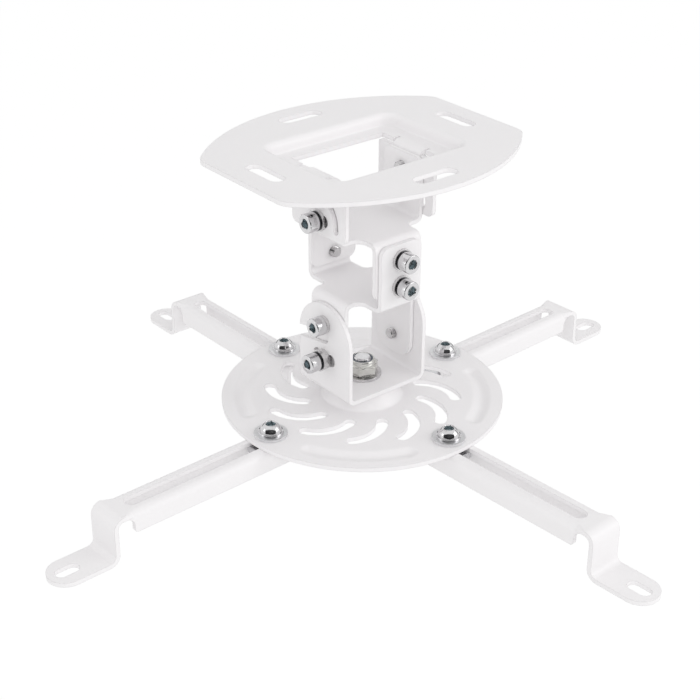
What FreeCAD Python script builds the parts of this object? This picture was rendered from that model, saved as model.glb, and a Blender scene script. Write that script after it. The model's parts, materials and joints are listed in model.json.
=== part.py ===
import FreeCAD, Part
import math
import os

# Universal projector ceiling mount: a ceiling plate, two crossed tilt brackets, a yoke,
# a slotted spider disc and four sliding arms. All pressed from flat sheet.
# Millimetres. The origin is the centre of the ceiling plate's top face and +Z is up.
# X is the axis of the two tilt hinges and Y is the axis of the roll hinge.

V = FreeCAD.Vector
X_AXIS = V(1, 0, 0)
Y_AXIS = V(0, 1, 0)
Z_AXIS = V(0, 0, 1)

# Sheet and fits
SHEET = 2.0            # thickness of every pressed part
BEND = 1.6             # inside radius of the tight bends
EAR_GAP = 0.2          # side clearance between nested ears
RUN_GAP = 0.05         # radial clearance of a screw in its round hole
SLOT_GAP = 0.25        # clearance on each side of a screw in a slot
ARM_GAP = 0.05         # clearance between an arm's top and the disc's underside
PRESS_GAP = 0.01       # between the nylon ring and the nut that grips it
PAST = 1.0             # how far a cutter reaches past what it cuts
NEAR = 0.02            # how near an edge lies to the place that it is picked by

# Heights below the ceiling
TILT_Z = -14.6         # upper tilt hinge
TILT_LOCK_DROP = 13.0  # lock screw below the tilt hinge
UPPER_WEB_Z = -35.1    # top face of the upper cross bracket's web
ROLL_Z = -56.2         # roll hinge
ROLL_LOCK_RISE = 12.4  # lock screw above the roll hinge
LOWER_WEB_Z = -65.1    # top face of the lower cross bracket's web
YAW_TILT_Z = -77.6     # hinge between lower bracket and yoke
YOKE_LOCK_DROP = 17.0  # lock screw below the yoke hinge
YOKE_BASE_Z = -109.9   # top face of the yoke's base
DISC_Z = -119.6        # top face of the spider disc's rim
TAB_Z = -142.9         # underside of the arm tabs

# Ceiling plate
PLATE_HALF_LENGTH = 64.4
PLATE_HALF_WIDTH = 56.4
PLATE_ARC_R = 88.0
PLATE_CORNER_R = 8.0
CEILING_SLOT_X = 51.6
CEILING_SLOT_Y = 44.3
CEILING_SLOT_LENGTH = 22.0
CEILING_SLOT_WIDTH = 7.2
RECESS_HALF_X = 35.0   # drawn-down middle of the plate, at the top
RECESS_HALF_Y = 25.0
RECESS_DRAFT = 0.7     # how much narrower it is at its floor
RECESS_CORNER_R = 6.0
RECESS_EDGE_R = 3.0
RECESS_FOOT_R = 1.0    # where its wall meets its floor
RECESS_DEPTH = 5.4
EAR_NECK_HALF = 9.0    # the bend that joins an ear to the recess's floor
EAR_HALF = 18.0
EAR_SHEAR = 0.3        # cut between an ear's shoulders and the floor
EAR_BOTTOM_Z = -33.6
EAR_CORNER_R = 3.0
EAR_SHOULDER_R = 1.0
RELIEF_WIDTH = 1.4     # notches at the ends of the ear bends
RELIEF_REACH = 1.2     # how far they reach past the bend
STEM_SLOT_R = 11.8     # narrow arc slot round the lock screw
STEM_SLOT_WIDTH = 3.2
STEM_SLOT_FROM_ANGLE = 125.0
STEM_SLOT_TO_ANGLE = 186.0
CEILING_EAR_OUT = 25.0 # outer face of the ceiling plate's ears

# Cross brackets
UPPER_UP_HALF = 12.0
UPPER_DOWN_HALF = 12.5
UPPER_EAR_TOP_Z = -7.6
UPPER_EAR_BOTTOM_Z = -61.6
LOWER_UP_HALF = 11.0
LOWER_DOWN_HALF = 11.5
LOWER_EAR_TOP_Z = -36.6
LOWER_EAR_BOTTOM_Z = -104.2
UPPER_WEB_CORNER_R = 5.0
LOWER_WEB_CORNER_R = 4.0
BRACKET_EAR_R = 4.0
LOWER_FOOT_R = 8.0     # corners of the lower bracket's down-turned ears
ROLL_OUT = 25.0        # outer face of the lower bracket's up-turned ears

# Yoke
YOKE_OUT = 22.0        # outer face of the yoke's ears
YOKE_HALF = 17.5
YOKE_ROUND_DROP = 8.0  # centre of the rounded ear top, below its hinge
HOOK_WIDTH = 5.6
HOOK_MOUTH_DROP = 9.5  # hook slot's mouth below the hinge, at the ear's edge
HOOK_TURN_DROP = 6.6   # hook slot's turn below the hinge

# Joint ranges that the lock slots allow
TILT_RANGE = 15.0
ROLL_RANGE = 8.0

# Spider disc
DISC_R = 64.0
BOSS_TOP_R = 13.0
BOSS_FOOT_R = 17.6
ARM_COUNT = 4
ARM_TURN = 3.8         # the arms stand this far round from the axes
ARM_SCREW_R = 54.6
BEAD_WIDTH = 9.4
BEAD_DEPTH = 2.2
BEAD_END = 22.0        # angle from an arm screw to the bead's end centre
SPIRAL_COUNT = 12
SPIRAL_WIDTH = 5.4
SPIRAL_TURN = 8.0      # first slot's outer end, round from an arm screw
SPIRAL_OUTER = (42.6, 3.0)    # radius and angle of the outer end
SPIRAL_MIDDLE = (36.8, 17.0)
SPIRAL_INNER = (27.6, 27.5)

# Arms
ARM_WIDTH = 17.0
FLANGE_DEPTH = 9.5
FLANGE_END = 132.0     # radius where the side flanges stop
FLANGE_CORNER_R = 1.5
NOTCH_R = 4.0
FADE_R = 0.3           # edge radius that the bends fade to past the flanges
LEG_OUT = 142.0        # outer face of the leg
LEG_BEND = 3.0
TAB_HOLE_R = 160.0     # radius of the circle of tab holes
TAB_END = 8.6          # hole centre to the tab's end
TAB_HOLE_LENGTH = 11.0
TAB_HOLE_WIDTH = 6.0
ARM_TAIL = 9.2         # screw centre to the arm's inner end
ARM_TRAVEL = 73.0
ARM_REST_SWING = (-1.0, -2.4, -1.2, 0.0)   # how each arm stands in the photo
ARM_REST_SLIDE = (0.0, 4.0, 0.0, 0.0)

# Fasteners
M5_R = 2.5
M5_HEAD_R = 4.25
M5_HEAD_H = 5.0
M5_HEAD_CHAMFER = 0.4
M5_SOCKET = 4.0
M5_SOCKET_DEPTH = 2.6
M5_TAIL = 2.6          # screw end past the inner ear
M5_WASHER_R = 4.9
M5_WASHER_T = 1.4
M5_SPRING_R = 4.3
M5_SPRING_T = 0.8
M5_COLLAR_R = 4.2      # under the screws that the yoke hooks on to
M5_COLLAR_T = 1.6
M5_SPACER_R = 4.6      # under the washers of the yoke's lock screws
M5_SPACER_T = 2.4
SPRING_SPLIT = 0.5
PIVOT_SPLIT_ANGLE = 160.0
LOCK_SPLIT_ANGLE = 40.0
M6_R = 3.0
M6_HEAD_R = 4.8
M6_TOP_R = 2.75
M6_HEAD_H = 3.4
M6_FLANGE_R = 6.6
M6_FLANGE_T = 0.9
M6_SOCKET = 4.0
M6_SOCKET_DEPTH = 2.0
M6_WASHER_R = 7.4
M6_WASHER_T = 1.2
M6_TAIL = 1.6
NUT_PLATE_LENGTH = 19.0
NUT_PLATE_T = 3.0
NUT_PLATE_GAP = 0.2
M8_R = 4.0
M8_WASHER_R = 8.6
M8_WASHER_T = 1.4
M8_FLATS = 13.0
M8_FACE_R = 6.3        # the hexagon's chamfered faces
M8_HEX_H = 4.9
M8_NUT_H = 6.9
M8_CROWN_R = 5.6
M8_HEAD_H = 4.6
M8_TAIL = 0.8
INSERT_R = 5.0
INSERT_T = 1.4
INSERT_SINK = 0.2      # top of the nylon ring below the nut's crown


def save(node, shape):
    shape.exportStep("parts/" + node + ".step")


def cylinder(radius, start, direction, length):
    return Part.makeCylinder(radius, length, start, direction)


def block(low, high):
    size = high - low
    return Part.makeBox(size.x, size.y, size.z, low)


def prism(edges, vector):
    return Part.Face(Part.Wire(edges)).extrude(vector)


def polar(radius, angle, z=0.0):
    a = math.radians(angle)
    return V(radius * math.cos(a), radius * math.sin(a), z)


def hexagon(across_flats, start, direction, length):
    corners = [polar(across_flats / math.sqrt(3), 60 * k) for k in range(7)]
    solid = Part.Face(Part.makePolygon(corners)).extrude(V(0, 0, length))
    solid.Placement = FreeCAD.Placement(start, FreeCAD.Rotation(Z_AXIS, direction))
    return solid


def strip_face(path, thickness, bend, place):
    """Face of a bent strip: path is its middle line, place turns (a, b) into a point."""
    middle = bend + thickness / 2
    corners = []
    for before, corner, after in zip(path, path[1:], path[2:]):
        ax, ay = corner[0] - before[0], corner[1] - before[1]
        bx, by = after[0] - corner[0], after[1] - corner[1]
        la, lb = math.hypot(ax, ay), math.hypot(bx, by)
        corners.append(((ax / la, ay / la), (bx / lb, by / lb), corner))

    def side(sign):
        half = sign * thickness / 2
        first, last = path[0], path[-1]
        start_dir = corners[0][0]
        end_dir = corners[-1][1]
        points = [("line", (first[0] - start_dir[1] * half, first[1] + start_dir[0] * half))]
        for d_in, d_out, corner in corners:
            turn = math.atan2(d_in[0] * d_out[1] - d_in[1] * d_out[0],
                              d_in[0] * d_out[0] + d_in[1] * d_out[1])
            reach = middle * math.tan(abs(turn) / 2)
            left = 1 if turn > 0 else -1
            centre = (corner[0] - d_in[0] * reach - d_in[1] * middle * left,
                      corner[1] - d_in[1] * reach + d_in[0] * middle * left)
            radius = middle - left * half
            angle_in = math.atan2(-d_in[0] * left, d_in[1] * left)
            arc = []
            for share in (0.0, 0.5, 1.0):
                angle = angle_in + turn * share
                arc.append((centre[0] + radius * math.cos(angle),
                            centre[1] + radius * math.sin(angle)))
            points.append(("arc", arc))
        points.append(("line", (last[0] - end_dir[1] * half, last[1] + end_dir[0] * half)))
        return points

    def edges_of(points):
        edges = []
        here = points[0][1]
        for kind, data in points[1:]:
            target = data[0] if kind == "arc" else data
            if math.hypot(target[0] - here[0], target[1] - here[1]) > 1e-7:
                edges.append(Part.LineSegment(place(*here), place(*target)).toShape())
            here = target
            if kind == "arc":
                edges.append(Part.Arc(place(*data[0]), place(*data[1]), place(*data[2])).toShape())
                here = data[2]
        return edges

    left_side, right_side = side(1), side(-1)
    edges = edges_of(left_side) + edges_of(right_side)
    for end in (0, -1):
        edges.append(Part.LineSegment(place(*left_side[end][1]), place(*right_side[end][1])).toShape())
    return Part.Face(Part.Wire(Part.__sortEdges__(edges)))


def round_rect_wire(half_x, half_y, radius, z):
    """Rounded rectangle on the Z axis."""
    edges = []
    corners = [(1, 1, 0), (-1, 1, 90), (-1, -1, 180), (1, -1, 270)]
    ends = []
    for sx, sy, start in corners:
        centre = V(sx * (half_x - radius), sy * (half_y - radius), z)
        arc = [centre + V(radius * math.cos(math.radians(start + a)),
                          radius * math.sin(math.radians(start + a)), 0) for a in (0, 45, 90)]
        edges.append(Part.Arc(*arc).toShape())
        ends.append((arc[0], arc[2]))
    for k in range(4):
        edges.append(Part.LineSegment(ends[k][1], ends[(k + 1) % 4][0]).toShape())
    return Part.Wire(Part.__sortEdges__(edges))


def straight_slot(centre, along, length, width, low, high):
    """Round-ended slot cutter that stands on the Z axis between two heights."""
    reach = along * ((length - width) / 2)
    across = V(-along.y, along.x, 0) * (width / 2)
    base = V(centre.x, centre.y, low)
    a, b = base - reach, base + reach
    edges = [Part.LineSegment(a + across, b + across).toShape(),
             Part.Arc(b + across, b + along * (width / 2), b - across).toShape(),
             Part.LineSegment(b - across, a - across).toShape(),
             Part.Arc(a - across, a - along * (width / 2), a + across).toShape()]
    return prism(edges, V(0, 0, high - low))


def ring_slot(centre, normal, reference, radius, width, angle_from, angle_to, depth):
    """Arc slot cutter: an arc about centre, with angles from reference about normal."""
    side = normal.cross(reference)

    def spot(r, angle):
        a = math.radians(angle)
        return centre + reference * (r * math.cos(a)) + side * (r * math.sin(a))

    outer, inner = radius + width / 2, radius - width / 2
    middle = (angle_from + angle_to) / 2

    def cap(angle, sign):
        a = math.radians(angle)
        tangent = side * math.cos(a) - reference * math.sin(a)
        return spot(radius, angle) + tangent * (sign * width / 2)

    edges = [Part.Arc(spot(outer, angle_from), spot(outer, middle), spot(outer, angle_to)).toShape(),
             Part.Arc(spot(outer, angle_to), cap(angle_to, 1), spot(inner, angle_to)).toShape(),
             Part.Arc(spot(inner, angle_to), spot(inner, middle), spot(inner, angle_from)).toShape(),
             Part.Arc(spot(inner, angle_from), cap(angle_from, -1), spot(outer, angle_from)).toShape()]
    face = Part.Face(Part.Wire(edges))
    face.translate(normal * (-depth / 2))
    return face.extrude(normal * depth)


def ear_outline(half, low, high, radius, axis, reach):
    """Outline of an ear with rounded corners, as a long prism along axis."""
    wire = round_rect_wire(half, (high - low) / 2, radius, -reach)
    solid = Part.Face(wire).extrude(V(0, 0, 2 * reach))
    if axis == X_AXIS:
        turn = FreeCAD.Rotation(V(0, 1, 0), V(0, 0, 1), V(1, 0, 0), "ZXY")
    else:
        turn = FreeCAD.Rotation(V(-1, 0, 0), V(0, 0, 1), V(0, 1, 0), "ZXY")
    solid.Placement = FreeCAD.Placement(V(0, 0, (low + high) / 2), turn)
    return solid


def web_corners(half_x, half_y, radius, top):
    """Four concave fillets that join the arms of a plus-shaped web."""
    shapes = []
    for sx in (1, -1):
        for sy in (1, -1):
            corner = V(sx * half_x, sy * half_y, top - SHEET)
            far = corner + V(sx * radius, sy * radius, SHEET)
            low = V(min(corner.x, far.x), min(corner.y, far.y), corner.z)
            high = V(max(corner.x, far.x), max(corner.y, far.y), far.z)
            hole = cylinder(radius, V(far.x, far.y, corner.z - PAST), Z_AXIS, SHEET + 2 * PAST)
            shapes.append(block(low, high).cut(hole))
    return shapes


def lock_half_angle(radius, travel):
    return travel + math.degrees(SLOT_GAP / radius)


def flat_edges(shape, z):
    """Edges that lie flat at a height."""
    return [e for e in shape.Edges if abs(e.BoundBox.ZMin - z) < NEAR and abs(e.BoundBox.ZMax - z) < NEAR]


def ceiling_plate():
    arc_centre = PLATE_HALF_WIDTH - PLATE_ARC_R
    plate = block(V(-PLATE_HALF_LENGTH, -PLATE_HALF_WIDTH, -SHEET),
                  V(PLATE_HALF_LENGTH, PLATE_HALF_WIDTH, 0))
    for sign in (1, -1):
        plate = plate.common(cylinder(PLATE_ARC_R, V(0, sign * arc_centre, -SHEET), Z_AXIS, SHEET))
    corners = [e for e in plate.Edges if abs(e.BoundBox.XMin) > PLATE_HALF_LENGTH - NEAR
               and e.BoundBox.ZLength > SHEET - NEAR and e.BoundBox.XLength < NEAR]
    plate = plate.makeFillet(PLATE_CORNER_R, corners)

    floor_z = -RECESS_DEPTH
    foot_half_x, foot_half_y = RECESS_HALF_X - RECESS_DRAFT, RECESS_HALF_Y - RECESS_DRAFT
    foot_r = RECESS_CORNER_R - RECESS_DRAFT
    recess = Part.makeLoft([round_rect_wire(RECESS_HALF_X, RECESS_HALF_Y, RECESS_CORNER_R, 0),
                            round_rect_wire(foot_half_x, foot_half_y, foot_r, floor_z)], True, True)
    skin = Part.makeLoft([round_rect_wire(RECESS_HALF_X + SHEET, RECESS_HALF_Y + SHEET,
                                          RECESS_CORNER_R + SHEET, 0),
                          round_rect_wire(foot_half_x + SHEET, foot_half_y + SHEET, foot_r + SHEET,
                                          floor_z - SHEET)], True, True)
    recess = recess.makeFillet(RECESS_FOOT_R, flat_edges(recess, floor_z))
    skin = skin.makeFillet(RECESS_FOOT_R + SHEET, flat_edges(skin, floor_z - SHEET))
    plate = plate.fuse(skin).cut(recess).removeSplitter()
    rim = [e for e in flat_edges(plate, 0)
           if max(abs(e.BoundBox.XMin), abs(e.BoundBox.XMax)) < RECESS_HALF_X + NEAR
           and max(abs(e.BoundBox.YMin), abs(e.BoundBox.YMax)) < RECESS_HALF_Y + NEAR]
    plate = plate.makeFillet(RECESS_EDGE_R, rim)
    plate = plate.cut(block(V(-CEILING_EAR_OUT, -EAR_HALF, floor_z - SHEET - PAST),
                            V(CEILING_EAR_OUT, EAR_HALF, floor_z + PAST)))

    ear_in = CEILING_EAR_OUT - SHEET
    shoulder_z = floor_z - SHEET - EAR_SHEAR
    relief_x = CEILING_EAR_OUT + BEND + RELIEF_REACH
    relief_half = EAR_NECK_HALF + RELIEF_WIDTH
    for sign in (1, -1):
        low_x, high_x = sorted((sign * ear_in, sign * relief_x))
        plate = plate.cut(block(V(low_x, -relief_half, floor_z - SHEET - PAST),
                                V(high_x, relief_half, floor_z + PAST)))
        middle = sign * (CEILING_EAR_OUT - SHEET / 2)
        floor_mid = floor_z - SHEET / 2
        path = [(sign * (relief_x + PAST), floor_mid), (middle, floor_mid), (middle, TILT_Z)]
        neck = strip_face(path, SHEET, BEND, lambda a, b: V(a, -EAR_NECK_HALF, b))
        neck = neck.extrude(V(0, 2 * EAR_NECK_HALF, 0))
        low_x, high_x = sorted((sign * ear_in, sign * CEILING_EAR_OUT))
        blade = ear_outline(EAR_HALF, EAR_BOTTOM_Z, shoulder_z + EAR_CORNER_R, EAR_CORNER_R, X_AXIS,
                            CEILING_EAR_OUT)
        blade = blade.common(block(V(low_x, -EAR_HALF, EAR_BOTTOM_Z), V(high_x, EAR_HALF, TILT_Z)))
        shoulders = ear_outline(EAR_HALF, EAR_BOTTOM_Z, shoulder_z, EAR_SHOULDER_R, X_AXIS,
                                CEILING_EAR_OUT)
        shoulders = shoulders.common(block(V(low_x, -EAR_HALF, TILT_Z),
                                           V(high_x, EAR_HALF, shoulder_z)))
        plate = plate.fuse([neck, blade, shoulders])
    plate = plate.removeSplitter()

    pivot = V(0, 0, TILT_Z)
    reach = 2 * (CEILING_EAR_OUT + PAST)
    plate = plate.cut(cylinder(M5_R + RUN_GAP, V(-reach / 2, 0, TILT_Z), X_AXIS, reach))
    half = lock_half_angle(TILT_LOCK_DROP, TILT_RANGE)
    plate = plate.cut(ring_slot(pivot, X_AXIS, V(0, 0, -1), TILT_LOCK_DROP, 2 * (M5_R + SLOT_GAP),
                                -half, half, reach))
    stem = pivot - V(0, 0, TILT_LOCK_DROP)
    plate = plate.cut(ring_slot(stem, X_AXIS, Y_AXIS, STEM_SLOT_R, STEM_SLOT_WIDTH,
                                STEM_SLOT_FROM_ANGLE, STEM_SLOT_TO_ANGLE, reach))
    for sign in (1, -1):
        for centre, along in ((V(sign * CEILING_SLOT_X, 0, 0), Y_AXIS),
                              (V(0, sign * CEILING_SLOT_Y, 0), X_AXIS)):
            plate = plate.cut(straight_slot(centre, along, CEILING_SLOT_LENGTH,
                                            CEILING_SLOT_WIDTH, -SHEET - PAST, PAST))
    return plate


def bracket_strip(out, half, web_z, ear_end_z, axis, corner_r):
    """U-shaped strip: its web at web_z and two ears to ear_end_z, across the given axis."""
    middle = out - SHEET / 2
    web_mid = web_z - SHEET / 2
    path = [(-middle, ear_end_z), (-middle, web_mid), (middle, web_mid), (middle, ear_end_z)]
    if axis == X_AXIS:
        face = strip_face(path, SHEET, BEND, lambda a, b: V(a, -half, b))
        strip = face.extrude(V(0, 2 * half, 0))
    else:
        face = strip_face(path, SHEET, BEND, lambda a, b: V(-half, a, b))
        strip = face.extrude(V(2 * half, 0, 0))
    past_web = 2 * corner_r if ear_end_z < web_z else -2 * corner_r
    low, high = sorted((ear_end_z, web_z + past_web))
    return strip.common(ear_outline(half, low, high, corner_r, axis, out + PAST))


def upper_cross_bracket():
    out = CEILING_EAR_OUT - SHEET - EAR_GAP
    down_out = ROLL_OUT - SHEET - EAR_GAP
    up = bracket_strip(out, UPPER_UP_HALF, UPPER_WEB_Z, UPPER_EAR_TOP_Z, X_AXIS, BRACKET_EAR_R)
    down = bracket_strip(down_out, UPPER_DOWN_HALF, UPPER_WEB_Z, UPPER_EAR_BOTTOM_Z, Y_AXIS,
                         BRACKET_EAR_R)
    bracket = up.fuse([down] + web_corners(UPPER_DOWN_HALF, UPPER_UP_HALF, UPPER_WEB_CORNER_R,
                                           UPPER_WEB_Z))
    bracket = bracket.removeSplitter()
    for z in (TILT_Z, TILT_Z - TILT_LOCK_DROP):
        bracket = bracket.cut(cylinder(M5_R + RUN_GAP, V(-out - PAST, 0, z), X_AXIS,
                                       2 * (out + PAST)))
    for z in (ROLL_Z, ROLL_Z + ROLL_LOCK_RISE):
        bracket = bracket.cut(cylinder(M5_R + RUN_GAP, V(0, -down_out - PAST, z), Y_AXIS,
                                       2 * (down_out + PAST)))
    return bracket


def lower_cross_bracket():
    down_out = YOKE_OUT - SHEET - EAR_GAP
    up = bracket_strip(ROLL_OUT, LOWER_UP_HALF, LOWER_WEB_Z, LOWER_EAR_TOP_Z, Y_AXIS, BRACKET_EAR_R)
    down = bracket_strip(down_out, LOWER_DOWN_HALF, LOWER_WEB_Z, LOWER_EAR_BOTTOM_Z, X_AXIS,
                         LOWER_FOOT_R)
    bracket = up.fuse([down] + web_corners(LOWER_UP_HALF, LOWER_DOWN_HALF, LOWER_WEB_CORNER_R,
                                           LOWER_WEB_Z))
    bracket = bracket.removeSplitter()
    reach = 2 * (ROLL_OUT + PAST)
    bracket = bracket.cut(cylinder(M5_R + RUN_GAP, V(0, -reach / 2, ROLL_Z), Y_AXIS, reach))
    half = lock_half_angle(ROLL_LOCK_RISE, ROLL_RANGE)
    bracket = bracket.cut(ring_slot(V(0, 0, ROLL_Z), Y_AXIS, Z_AXIS, ROLL_LOCK_RISE,
                                    2 * (M5_R + SLOT_GAP), -half, half, reach))
    for z in (YAW_TILT_Z, YAW_TILT_Z - YOKE_LOCK_DROP):
        bracket = bracket.cut(cylinder(M5_R + RUN_GAP, V(-down_out - PAST, 0, z), X_AXIS,
                                       2 * (down_out + PAST)))
    return bracket


def hook_slot(reach):
    """Slot that lets the yoke hook on to its hinge screws: in from +Y, then up."""
    half = HOOK_WIDTH / 2
    seat = V(0, 0, YAW_TILT_Z)
    turn = V(0, 0, YAW_TILT_Z - HOOK_TURN_DROP)
    edge = V(0, YOKE_HALF, YAW_TILT_Z - HOOK_MOUTH_DROP)
    lane = (edge - turn).normalize()
    mouth = edge + lane * (2 * PAST)
    across = V(0, -lane.z, lane.y) * half
    points = [turn + across, mouth + across, mouth - across, turn - across, turn + across]
    channel = Part.Face(Part.makePolygon(points)).extrude(V(2 * reach, 0, 0))
    channel.translate(V(-reach, 0, 0))
    ends = [cylinder(M5_R + RUN_GAP, V(-reach, 0, seat.z), X_AXIS, 2 * reach),
            cylinder(half, V(-reach, 0, turn.z), X_AXIS, 2 * reach)]
    neck = 2 * (M5_R + RUN_GAP)
    rise = block(V(-reach, -neck / 2, turn.z), V(reach, neck / 2, seat.z))
    return channel.fuse([rise] + ends)


def yoke_bracket():
    middle = YOKE_OUT - SHEET / 2
    base_mid = YOKE_BASE_Z - SHEET / 2
    top = YAW_TILT_Z - YOKE_ROUND_DROP + YOKE_HALF
    path = [(-middle, top + PAST), (-middle, base_mid), (middle, base_mid), (middle, top + PAST)]
    face = strip_face(path, SHEET, BEND, lambda a, b: V(a, -YOKE_HALF, b))
    yoke = face.extrude(V(0, 2 * YOKE_HALF, 0))
    round_z = YAW_TILT_Z - YOKE_ROUND_DROP
    reach = YOKE_OUT + PAST
    foot_front = V(-reach, -YOKE_HALF, base_mid - SHEET)
    foot_back = V(-reach, YOKE_HALF, base_mid - SHEET)
    round_front = V(-reach, -YOKE_HALF, round_z)
    round_back = V(-reach, YOKE_HALF, round_z)
    crest = V(-reach, 0, round_z + YOKE_HALF)
    edges = [Part.LineSegment(foot_front, foot_back).toShape(),
             Part.LineSegment(foot_back, round_back).toShape(),
             Part.Arc(round_back, crest, round_front).toShape(),
             Part.LineSegment(round_front, foot_front).toShape()]
    yoke = yoke.common(prism(edges, V(2 * reach, 0, 0)))
    yoke = yoke.cut(hook_slot(reach))
    half = lock_half_angle(YOKE_LOCK_DROP, TILT_RANGE)
    yoke = yoke.cut(ring_slot(V(0, 0, YAW_TILT_Z), X_AXIS, V(0, 0, -1), YOKE_LOCK_DROP,
                              2 * (M5_R + SLOT_GAP), -half, half, 2 * reach))
    return yoke.cut(cylinder(M8_R + RUN_GAP, V(0, 0, YOKE_BASE_Z - SHEET - PAST), Z_AXIS,
                             SHEET + 2 * PAST))


def boss_top():
    """Top face of the spider disc's raised centre, which carries the yoke."""
    return YOKE_BASE_Z - SHEET


def arc_slot(first, middle, last, width, low, high):
    """Cutter for a slot whose middle line is the arc through three points."""
    circle = Part.Arc(first, middle, last).toShape().Curve
    centre, radius = V(circle.Center), circle.Radius
    start, end = first - centre, last - centre
    angle = math.atan2(start.x * end.y - start.y * end.x, start.dot(end))
    reference = V(start).normalize()
    normal = V(0, 0, 1 if angle > 0 else -1)
    cutter = ring_slot(centre, normal, reference, radius, width, 0, math.degrees(abs(angle)),
                       high - low)
    cutter.translate(V(0, 0, (low + high) / 2 - first.z))
    return cutter


def bead(start, end, radius, z):
    """Round bar bent along the rim, with ball ends."""
    ring = Part.makeTorus(ARM_SCREW_R, radius, V(0, 0, z), Z_AXIS, -180, 180, end - start)
    ring.rotate(V(0, 0, 0), Z_AXIS, start)
    balls = [Part.makeSphere(radius, polar(ARM_SCREW_R, a, z)) for a in (start, end)]
    return ring.fuse(balls)


def spider_disc():
    rim_mid = DISC_Z - SHEET / 2
    boss_mid = boss_top() - SHEET / 2
    path = [(M8_R + RUN_GAP, boss_mid), (BOSS_TOP_R, boss_mid), (BOSS_FOOT_R, rim_mid),
            (DISC_R, rim_mid)]
    disc = strip_face(path, SHEET, BEND, lambda a, b: V(a, 0, b)).revolve(V(0, 0, 0), Z_AXIS, 360)
    void_r = BEAD_WIDTH ** 2 / (8 * BEAD_DEPTH) + BEAD_DEPTH / 2
    bead_z = DISC_Z - BEAD_DEPTH + void_r
    below = block(V(-DISC_R, -DISC_R, DISC_Z - BEAD_DEPTH - SHEET - PAST),
                  V(DISC_R, DISC_R, DISC_Z - SHEET / 2))
    quarter = 360 / ARM_COUNT
    for k in range(ARM_COUNT):
        start = ARM_TURN + k * quarter + BEAD_END
        end = start + quarter - 2 * BEAD_END
        skin = bead(start, end, void_r + SHEET, bead_z).common(below)
        disc = disc.fuse(skin).cut(bead(start, end, void_r, bead_z))
    for k in range(SPIRAL_COUNT):
        turn = ARM_TURN + SPIRAL_TURN + k * 360 / SPIRAL_COUNT
        spots = [polar(r, turn + a, DISC_Z) for r, a in (SPIRAL_OUTER, SPIRAL_MIDDLE, SPIRAL_INNER)]
        disc = disc.cut(arc_slot(*spots, SPIRAL_WIDTH, DISC_Z - SHEET - PAST, DISC_Z + PAST))
    for k in range(ARM_COUNT):
        under = polar(ARM_SCREW_R, ARM_TURN + k * quarter, DISC_Z - SHEET - PAST)
        disc = disc.cut(cylinder(M6_R + RUN_GAP, under, Z_AXIS, SHEET + 2 * PAST))
    return disc.removeSplitter()


def arm():
    """Arm along +X under the disc: a slotted channel, a leg and a tab with an oblong hole."""
    top = DISC_Z - SHEET - ARM_GAP
    half = ARM_WIDTH / 2
    inner_end = ARM_SCREW_R - ARM_TAIL
    web_mid = top - SHEET / 2
    tab_mid = TAB_Z + SHEET / 2
    leg_mid = LEG_OUT - SHEET / 2
    tip = TAB_HOLE_R + TAB_END
    path = [(inner_end, web_mid), (leg_mid, web_mid), (leg_mid, tab_mid), (tip, tab_mid)]
    strip = strip_face(path, SHEET, LEG_BEND, lambda a, b: V(a, -half, b)).extrude(V(0, 2 * half, 0))
    plan = straight_slot(V((inner_end + tip) / 2, 0, 0), X_AXIS, tip - inner_end, 2 * half,
                         TAB_Z - PAST, top + PAST)
    plan = plan.fuse(block(V(inner_end, -half, TAB_Z - PAST),
                           V(inner_end + 2 * half, half, top + PAST)))
    strip = strip.common(plan)

    flange_low = top - FLANGE_DEPTH
    side_mid = half - SHEET / 2
    channel_path = [(-side_mid, flange_low), (-side_mid, web_mid), (side_mid, web_mid),
                    (side_mid, flange_low)]
    channel = strip_face(channel_path, SHEET, BEND, lambda a, b: V(inner_end, a, b))
    notch_end = FLANGE_END + NOTCH_R
    channel = channel.extrude(V(notch_end - inner_end, 0, 0))
    under = top - SHEET
    notch = cylinder(NOTCH_R, V(notch_end, -half - PAST, under - NOTCH_R), Y_AXIS,
                     2 * (half + PAST))
    gap = block(V(FLANGE_END, -half - PAST, flange_low - PAST),
                V(notch_end + NOTCH_R, half + PAST, under - NOTCH_R))
    channel = channel.cut(notch.fuse(gap))
    corners = [e for e in channel.Edges if abs(e.BoundBox.YLength - SHEET) < NEAR
               and e.BoundBox.XLength < NEAR and e.BoundBox.ZLength < NEAR
               and abs(e.BoundBox.ZMin - flange_low) < NEAR]
    channel = channel.makeFillet(FLANGE_CORNER_R, corners)
    shell = strip.fuse(channel).cut(outside_the_bends(inner_end - PAST, notch_end + PAST, half, top))
    slot_centre = ARM_SCREW_R + ARM_TRAVEL / 2
    slot = straight_slot(V(slot_centre, 0, 0), X_AXIS, ARM_TRAVEL + 2 * (M6_R + SLOT_GAP),
                         2 * (M6_R + SLOT_GAP), top - SHEET - PAST, top + PAST)
    hole = straight_slot(V(TAB_HOLE_R, 0, 0), X_AXIS, TAB_HOLE_LENGTH, TAB_HOLE_WIDTH,
                         TAB_Z - PAST, TAB_Z + SHEET + PAST)
    return shell.cut(slot).cut(hole).removeSplitter()


def corner_profile(x, side, half, top, radius):
    """What lies between a square edge and its rounding, as a wire across the arm."""
    edge = side * half
    inner = edge - side * radius
    turn = radius * (1 - math.sqrt(0.5))
    corner = V(x, edge, top)
    first, last = V(x, inner, top), V(x, edge, top - radius)
    middle = V(x, edge - side * turn, top - turn)
    return Part.Wire([Part.LineSegment(corner, first).toShape(),
                      Part.Arc(first, middle, last).toShape(),
                      Part.LineSegment(last, corner).toShape()])


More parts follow.
